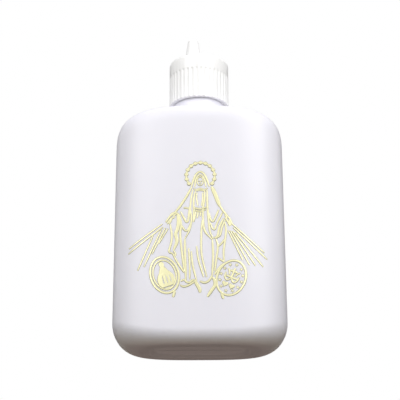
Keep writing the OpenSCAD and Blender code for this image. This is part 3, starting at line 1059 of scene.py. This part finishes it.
class FoilDrawing:
    """Thin foil lines and patches on the front face, gathered in one mesh."""

    def __init__(self, b, p):
        self.half_w = b.width / 2
        self.half_d = b.depth / 2
        self.power = b.squareness
        self.weight = p.weight
        self.lift = p.lift
        self.edge = p.edge_width / MM
        self.bm = bmesh.new()
        self.rim = self.bm.verts.layers.float.new("rim")

    def point(self, x, z, lift):
        """A point on the front, from millimetres, at a height over the plastic."""
        px = x * MM
        share = abs(px / self.half_w) ** self.power
        py = -self.half_d * (1 - share) ** (1 / self.power)
        slope_x = math.copysign(abs(px / self.half_w) ** (self.power - 1) / self.half_w, px)
        slope_y = -abs(py / self.half_d) ** (self.power - 1) / self.half_d
        normal = Vector((slope_x, slope_y, 0)).normalized()
        return Vector((px, py, z * MM)) + normal * lift

    def corner(self, x, z, raised):
        """A vertex on the foil's face, or on its edge a little inside the plastic."""
        vert = self.bm.verts.new(self.point(x, z, self.lift if raised else -FOIL_SINK * self.lift))
        vert[self.rim] = 0.0 if raised else 1.0
        return vert

    def line(self, width, points, closed=False, taper=0.45):
        """A line with a flat top and sloping edges, which thins over a quarter at each end."""
        path = spline(points, closed)
        count = len(path)
        sections = []
        for i, (x, z) in enumerate(path):
            if closed:
                before, after = path[i - 1], path[(i + 1) % count]
                swell = 1.0
            else:
                before, after = path[max(0, i - 1)], path[min(count - 1, i + 1)]
                end = min(i, count - 1 - i) / max(1.0, 0.25 * count)
                swell = taper + (1 - taper) * math.sin(math.pi / 2 * min(1.0, end))
            along = Vector((after[0] - before[0], after[1] - before[1])).normalized()
            top = 0.5 * width * self.weight * swell - LINE_EDGE * self.edge
            half = top + self.edge
            sections.append([self.corner(x - along.y * out, z + along.x * out, raised)
                             for out, raised in ((half, False), (top, True), (-top, True), (-half, False))])
        if closed:
            sections.append(sections[0])
        else:
            self.bm.faces.new(sections[0])
            self.bm.faces.new(sections[-1][::-1])
        for near, far in zip(sections, sections[1:]):
            join_rings(self.bm, near, far)

    def patch(self, outline):
        """A filled patch with a sloping edge."""
        cx = sum(p[0] for p in outline) / len(outline)
        cz = sum(p[1] for p in outline) / len(outline)
        low, high = [], []
        for x, z in outline:
            reach = math.hypot(x - cx, z - cz)
            grow = 1 + (1 - PATCH_EDGE) * self.edge / reach
            keep = max(0.5, 1 - PATCH_EDGE * self.edge / reach)
            low.append(self.corner(cx + (x - cx) * grow, cz + (z - cz) * grow, False))
            high.append(self.corner(cx + (x - cx) * keep, cz + (z - cz) * keep, True))
        close_slab(self.bm, low, high)


def spline(points, closed=False, step=0.3):
    """Evenly spread points on a smooth curve through the given ones, wider apart if it is straight."""
    if len(points) == 2:
        (x0, z0), (x1, z1) = points
        pieces = max(2, math.ceil(math.hypot(x1 - x0, z1 - z0) / (3 * step)))
        return [(x0 + (x1 - x0) * i / pieces, z0 + (z1 - z0) * i / pieces)
                for i in range(pieces + 1)]
    knots = [Vector(p) for p in points]
    if closed:
        chain = [knots[-1]] + knots + [knots[0], knots[1]]
    else:
        chain = [2 * knots[0] - knots[1]] + knots + [2 * knots[-1] - knots[-2]]
    path = []
    for a, b, c, d in zip(chain, chain[1:], chain[2:], chain[3:]):
        pieces = max(2, math.ceil((c - b).length / step))
        for i in range(pieces):
            t = i / pieces
            p = 0.5 * (2 * b + (c - a) * t + (2 * a - 5 * b + 4 * c - d) * t * t
                       + (3 * b - a - 3 * c + d) * t * t * t)
            path.append((p.x, p.y))
    if not closed:
        path.append(tuple(points[-1]))
    return path


def leaning(medallion, shares):
    """Points of a medallion, from shares of its half width and half height."""
    (cx, cz), half_w, half_h, lean = medallion
    c, s = math.cos(math.radians(lean)), math.sin(math.radians(lean))
    flat = [(u * half_w, v * half_h) for u, v in shares]
    return [(cx + x * c + z * s, cz - x * s + z * c) for x, z in flat]


def oval(medallion, scale):
    """A ring inside a medallion, at a share of its size."""
    return leaning(medallion, [(scale * math.cos(t), scale * math.sin(t)) for t in round_steps(48)])


def heart(medallion, u, v, size):
    """The outline of a small heart in a medallion."""
    shares = []
    for t in round_steps(20):
        x = math.sin(t) ** 3
        z = (13 * math.cos(t) - 5 * math.cos(2 * t) - 2 * math.cos(3 * t) - math.cos(4 * t)) / 16
        shares.append((u + size * x, v + size * z * 0.8))
    return leaning(medallion, shares)


class BuildPrint(bpy.types.Operator):
    """Build the lines of the stamped print on the front"""

    bl_idname = "water_bottle.print"
    bl_label = "Foil print"

    def execute(self, context):
        settings = context.scene.water_bottle
        foil = FoilDrawing(settings.bottle, settings.print)
        for group in (VEIL, FACE, MANTLE, SLEEVE_FALLS, SASH, ROBE, TAILS, HANDS):
            for width, points in group:
                foil.line(width, points)
        for ray in RAYS:
            foil.line(0.36, ray, taper=0.7)
        # The open band that the pips of the halo sit on
        foil.line(0.55, HALO_ARC, taper=0.9)
        self.draw_left_medallion(foil, LEFT_MEDALLION)
        self.draw_right_medallion(foil, RIGHT_MEDALLION)
        drawing = new_object("foil_print", finished_mesh(foil.bm))
        dress(drawing, material_of(settings, "foil"), "bottle", "gold_foil")
        return {"FINISHED"}

    def draw_left_medallion(self, foil, m):
        """A double ring round a small veiled figure in a wide robe, with slits between its folds."""
        foil.line(0.6, oval(m, 1.0), closed=True)
        foil.line(0.4, oval(m, 0.81), closed=True)
        veil = ((-0.09, 0.73), (-0.19, 0.62), (-0.14, 0.46), (-0.26, 0.3), (-0.4, 0.08), (0.0, 0.02),
                (0.4, 0.08), (0.26, 0.3), (0.14, 0.46), (0.19, 0.62), (0.09, 0.73))
        foil.patch(leaning(m, veil))
        # Height, half width and slit of the robe; the folds overlap where the slit is below zero
        robe = ((0.14, 0.38, -0.16), (0.05, 0.48, 0.0), (-0.16, 0.62, 0.07), (-0.44, 0.61, 0.07),
                (-0.57, 0.5, -0.08), (-0.65, 0.4, -0.16))
        for start, end in ((-1.0, -0.36), (-0.36, 0.1), (0.1, 0.52), (0.52, 1.0)):
            near = [(start * half + (slit / 2 if start > -1 else 0), v) for v, half, slit in robe]
            far = [(end * half - (slit / 2 if end < 1 else 0), v) for v, half, slit in robe]
            foil.patch(leaning(m, near + far[::-1]))
        foil.line(0.45, leaning(m, [(u, -0.74) for u in (-0.26, 0.0, 0.26)]))

    def draw_right_medallion(self, foil, m):
        """A single ring round a plain cross, two sprays and two hearts."""
        foil.line(0.6, oval(m, 1.0), closed=True)
        foil.line(0.6, leaning(m, ((0.0, 0.58), (0.0, 0.05))), taper=0.9)
        foil.line(0.6, leaning(m, ((-0.26, 0.38), (0.26, 0.38))), taper=0.9)
        foil.line(0.5, leaning(m, ((-0.5, 0.02), (0.0, 0.02), (0.5, 0.02))))
        spray = ((0.0, -0.02), (0.24, -0.2), (0.46, -0.06), (0.5, 0.2))
        leaf = ((0.2, 0.12), (0.3, 0.3), (0.46, 0.44))
        for side in (-1, 1):
            foil.line(0.5, leaning(m, [(side * u, v) for u, v in spray]))
            foil.line(0.45, leaning(m, [(side * u, v) for u, v in leaf]))
            foil.patch(heart(m, 0.25 * side, -0.44, 0.22))


def spot_tree():
    """Small raised spots, evenly spread along a path and laid on a surface behind it."""
    tree, given = new_tree("foil_spots", {"Count": "Int", "Spot": "Object", "Surface": "Object"})
    curve = add_node(tree, "GeometryNodeMeshToCurve", {"Mesh": given["Geometry"]})
    spread = add_node(tree, "GeometryNodeResampleCurve", {"Curve": curve, "Count": given["Count"]})
    surface = add_node(tree, "GeometryNodeObjectInfo", {"Object": given["Surface"]},
                       transform_space="RELATIVE")
    hit = add_node(tree, "GeometryNodeRaycast", {"Target Geometry": surface.outputs["Geometry"],
                                                 "Ray Direction": (0.0, 1.0, 0.0), "Ray Length": 0.1})
    kept = add_node(tree, "GeometryNodeStoreNamedAttribute",
                    {"Geometry": spread, "Name": "lean", "Value": hit.outputs["Hit Normal"]},
                    data_type="FLOAT_VECTOR")
    laid = add_node(tree, "GeometryNodeSetPosition",
                    {"Geometry": kept, "Position": hit.outputs["Hit Position"]})
    lean = add_node(tree, "GeometryNodeInputNamedAttribute", {"Name": "lean"}, data_type="FLOAT_VECTOR")
    turn = add_node(tree, "FunctionNodeAlignRotationToVector", {"Vector": lean}, axis="Z")
    spot = add_node(tree, "GeometryNodeObjectInfo", {"Object": given["Spot"]})
    spots = add_node(tree, "GeometryNodeInstanceOnPoints",
                     {"Points": laid, "Instance": spot.outputs["Geometry"], "Rotation": turn})
    return end_tree(tree, spots, given["Material"])


def spot_mesh(count, radii, foot, height, rim_width):
    """A flat-topped spot over the XY plane, between two heights; radii take turns round it."""
    bm = bmesh.new()
    rim = bm.verts.layers.float.new("rim")
    low, high = [], []
    for i, t in enumerate(round_steps(count)):
        r = radii[i % len(radii)]
        x, y = r * math.cos(t), r * math.sin(t)
        keep = max(0.4, 1 - rim_width / r)
        low.append(bm.verts.new((x, y, foot)))
        high.append(bm.verts.new((x * keep, y * keep, height)))
    for vert in low:
        vert[rim] = 1.0
    close_slab(bm, low, high)
    return finished_mesh(bm)


class BuildSpots(bpy.types.Operator):
    """Build the pips of the halo and the stars of the right medallion"""

    bl_idname = "water_bottle.spots"
    bl_label = "Foil pips and stars"

    def execute(self, context):
        settings = context.scene.water_bottle
        p = settings.print
        material = material_of(settings, "foil")
        surface = bpy.data.objects["blown_bottle"]
        tree = spot_tree()
        ring = oval(RIGHT_MEDALLION, 0.78)
        # Where the paths lie, in front of the bottle
        ahead = -0.05
        # Name, path, number of spots, points and radii of a spot, and its height over the foil's
        jobs = (
            ("halo_pips", HALO_ARC, 13, 20, (0.8 * MM,), 1.9),
            ("medallion_stars", ring + ring[:1], 13, 10, (0.85 * MM, 0.45 * MM), 1.0),
        )
        for name, path, count, points, radii, rise in jobs:
            mesh = spot_mesh(points, radii, -FOIL_SINK * p.lift, rise * p.lift, p.edge_width)
            spot = new_object("spot", mesh)
            line = [Vector((x * MM, ahead, z * MM)) for x, z in path]
            spots = run_tree(name, path_mesh([line]), tree,
                             {"Count": count, "Spot": spot, "Surface": surface, "Material": material})
            bpy.data.objects.remove(spot)
            turn_outwards(spots)
            dress(spots, material, "bottle", "gold_foil")
        return {"FINISHED"}


# The stage

# Where the camera looks, and half the size of the floor
VIEW_TARGET = Vector((0.0002, 0.0, 0.055))
FLOOR_HALF = 1.5
# The floor is nearer to a card than the bottle is, and gets no dark band along it
CARD_REACH = 55 * MM
# Front, back and heights of the side cards; the back card stands over them
TOE_FRONT = -0.03
CARD_BACK = 0.3
CARD_LOW = 0.001
CARD_HIGH = 0.16
# For each side card its place, the front of its tall part and the height of its toe
SIDE_CARDS = ((-0.09, 0.055, 0.024), (0.09, 0.025, 0.034))


def floor_material(colour, bounce):
    """A matt pale floor that is only there from above, so that a low camera sees past it."""
    material, tree = new_material("painted floor")
    below = add_node(tree, "ShaderNodeNewGeometry").outputs["Backfacing"]
    ray = add_node(tree, "ShaderNodeLightPath").outputs
    unseen = add_node(tree, "ShaderNodeMath", {0: below, 1: ray["Is Shadow Ray"]}, operation="MAXIMUM")
    # Seen it is pale, but it throws little light back up at the object
    thrown = add_node(tree, "ShaderNodeMath", {0: ray["Is Diffuse Ray"], 1: ray["Is Glossy Ray"]},
                      operation="MAXIMUM")
    tone = add_node(tree, "ShaderNodeMix", {"A": (*colour, 1.0), "B": (*bounce, 1.0), "Factor": thrown},
                    data_type="RGBA")
    paint = add_node(tree, "ShaderNodeBsdfPrincipled", {"Base Color": tone, "Roughness": 0.9})
    clear = add_node(tree, "ShaderNodeBsdfTransparent")
    mix = add_node(tree, "ShaderNodeMixShader", {"Fac": unseen, 1: paint, 2: clear})
    add_node(tree, "ShaderNodeOutputMaterial", {"Surface": mix})
    return material


def card_material(colour):
    """Black felt, which gives a white bottle on white its thin dark outline."""
    material, tree = new_material("black felt")
    felt = add_node(tree, "ShaderNodeBsdfPrincipled", {"Base Color": (*colour, 1.0), "Roughness": 0.95})
    clear = add_node(tree, "ShaderNodeBsdfTransparent")
    ray = add_node(tree, "ShaderNodeLightPath").outputs
    far = add_node(tree, "ShaderNodeMath", {0: ray["Ray Length"], 1: CARD_REACH}, operation="GREATER_THAN")
    mix = add_node(tree, "ShaderNodeMixShader", {"Fac": far, 1: clear, 2: felt})
    add_node(tree, "ShaderNodeOutputMaterial", {"Surface": mix})
    return material


def flat_sheet(name, corners, material):
    """A flat sheet whose corners go round counterclockwise, seen from its front."""
    bm = bmesh.new()
    bm.faces.new([bm.verts.new(corner) for corner in corners])
    sheet = new_object(name, kept_mesh(bm))
    sheet.data.materials.append(material)
    return sheet


def dark_card(name, corners, material):
    """A dark card that the camera can't see, which shows only at the edges of what it stands by."""
    card = flat_sheet(name, corners, material)
    card.visible_camera = False
    card.visible_shadow = False


def area_lamp(name, place, target, size, power):
    """A square area lamp that faces a point."""
    light = bpy.data.lights.new(name, "AREA")
    light.shape = "SQUARE"
    light.size = size
    light.energy = power
    lamp = bpy.data.objects.new(name, light)
    lamp.location = place
    lamp.rotation_euler = (target - lamp.location).to_track_quat("-Z", "Y").to_euler()
    lamp.visible_camera = False
    bpy.context.scene.collection.objects.link(lamp)
    return lamp


class BuildStage(bpy.types.Operator):
    """Build the floor, the lamps, the background and the camera"""

    bl_idname = "water_bottle.stage"
    bl_label = "Stage"

    def execute(self, context):
        scene = context.scene
        s = scene.water_bottle.stage
        corners = [(FLOOR_HALF * x, FLOOR_HALF * y, 0.0) for x, y in ((-1, -1), (1, -1), (1, 1), (-1, 1))]
        floor = flat_sheet("floor", corners, floor_material(s.floor, s.bounce))
        self.add_cards(card_material(s.card))
        self.add_lamps(s)
        self.light_room(scene, s)
        self.add_camera(scene, s)
        scene.view_settings.view_transform = "Standard"
        return {"FINISHED"}

    def add_cards(self, felt):
        """Dark cards beside and behind; the low toes of the side cards darken the heel's corners."""
        for x, front, toe in SIDE_CARDS:
            outline = ((TOE_FRONT, CARD_LOW), (CARD_BACK, CARD_LOW), (CARD_BACK, CARD_HIGH),
                       (front, CARD_HIGH), (front, toe), (TOE_FRONT, toe))
            dark_card("side card", [(x, y, z) for y, z in outline], felt)
        outline = ((-0.2, CARD_HIGH), (0.2, CARD_HIGH), (0.2, 0.5), (-0.2, 0.5))
        dark_card("back card", [(x, CARD_BACK, z) for x, z in outline], felt)

    def add_lamps(self, s):
        """Two softboxes in front, one behind that doesn't show as a glint, and a weak lamp below."""
        front_aim = Vector((0, 0, 0.09))
        area_lamp("left softbox", (-0.31, -0.42, 0.33), front_aim, 0.35, 0.47 * s.key)
        area_lamp("right softbox", (0.33, -0.42, 0.33), front_aim, 0.35, 0.68 * s.key)
        back = area_lamp("back softbox", (0.0, 0.7, 0.24), Vector((0, 0, 0.08)), 0.4, 0.27 * s.key)
        back.data.spread = math.radians(80)
        back.visible_glossy = False
        under = area_lamp("under lamp", (0.0, 0.15, -0.3), Vector((0, 0, 0)), 0.4, s.under)
        under.data.color = s.under_tint

    def light_room(self, scene, s):
        """White for the camera and for reflections, and a softer light on the object."""
        world = bpy.data.worlds.new("studio")
        world.use_nodes = True
        tree = world.node_tree
        tree.nodes.clear()
        ray = add_node(tree, "ShaderNodeLightPath").outputs
        shine = add_node(tree, "ShaderNodeMath", {0: ray["Is Camera Ray"], 1: ray["Is Glossy Ray"]},
                         operation="MAXIMUM")
        seen = add_node(tree, "ShaderNodeMath", {0: shine, 1: ray["Is Transmission Ray"]},
                        operation="MAXIMUM")
        room = add_node(tree, "ShaderNodeBackground", {"Color": (1, 1, 1, 1), "Strength": s.fill})
        white = add_node(tree, "ShaderNodeBackground", {"Color": (1, 1, 1, 1), "Strength": 1.0})
        mix = add_node(tree, "ShaderNodeMixShader", {"Fac": seen, 1: room, 2: white})
        add_node(tree, "ShaderNodeOutputWorld", {"Surface": mix})
        scene.world = world

    def add_camera(self, scene, s):
        """The camera stands low in front and looks up at the bottle."""
        data = bpy.data.cameras.new("camera")
        data.lens = s.lens
        data.sensor_width = 36.0
        data.clip_start = 0.01
        camera = bpy.data.objects.new("camera", data)
        view = Vector((0.0, math.cos(s.camera_tilt), math.sin(s.camera_tilt)))
        camera.location = VIEW_TARGET - view * s.camera_distance
        turn = view.to_track_quat("-Z", "Y").to_matrix() @ Matrix.Rotation(s.camera_roll, 3, "Z")
        camera.rotation_euler = turn.to_euler()
        scene.collection.objects.link(camera)
        scene.camera = camera


class WaterBottlePanel(bpy.types.Panel):
    """Steps and settings of the water bottle"""

    bl_idname = "VIEW3D_PT_water_bottle"
    bl_label = "Water bottle"
    bl_space_type = "VIEW_3D"
    bl_region_type = "UI"
    bl_category = "Bottle"

    def draw(self, context):
        layout = self.layout
        settings = context.scene.water_bottle
        for operator in STEPS:
            layout.operator(operator.bl_idname)
        for group in (settings.bottle, settings.cap, settings.print, settings.stage):
            box = layout.box()
            for name in group.bl_rna.properties.keys():
                if name not in ("rna_type", "name"):
                    box.prop(group, name)


STEPS = (BuildBottle, BuildThreads, BuildParting, BuildCap, BuildLiner, BuildSpout, BuildPrint,
         BuildSpots, BuildStage)
GROUPS = (BottleSettings, CapSettings, PrintSettings, StageSettings, WaterBottleSettings)


def register():
    for cls in (*GROUPS, *STEPS, WaterBottlePanel):
        bpy.utils.register_class(cls)
    bpy.types.Scene.water_bottle = PointerProperty(type=WaterBottleSettings)


def unregister():
    del bpy.types.Scene.water_bottle
    for cls in reversed((*GROUPS, *STEPS, WaterBottlePanel)):
        bpy.utils.unregister_class(cls)


def main():
    register()
    for step in (bpy.ops.water_bottle.bottle, bpy.ops.water_bottle.threads,
                 bpy.ops.water_bottle.parting, bpy.ops.water_bottle.cap,
                 bpy.ops.water_bottle.liner, bpy.ops.water_bottle.spout, bpy.ops.water_bottle.print,
                 bpy.ops.water_bottle.spots, bpy.ops.water_bottle.stage):
        step()


if __name__ == "__main__":
    main()
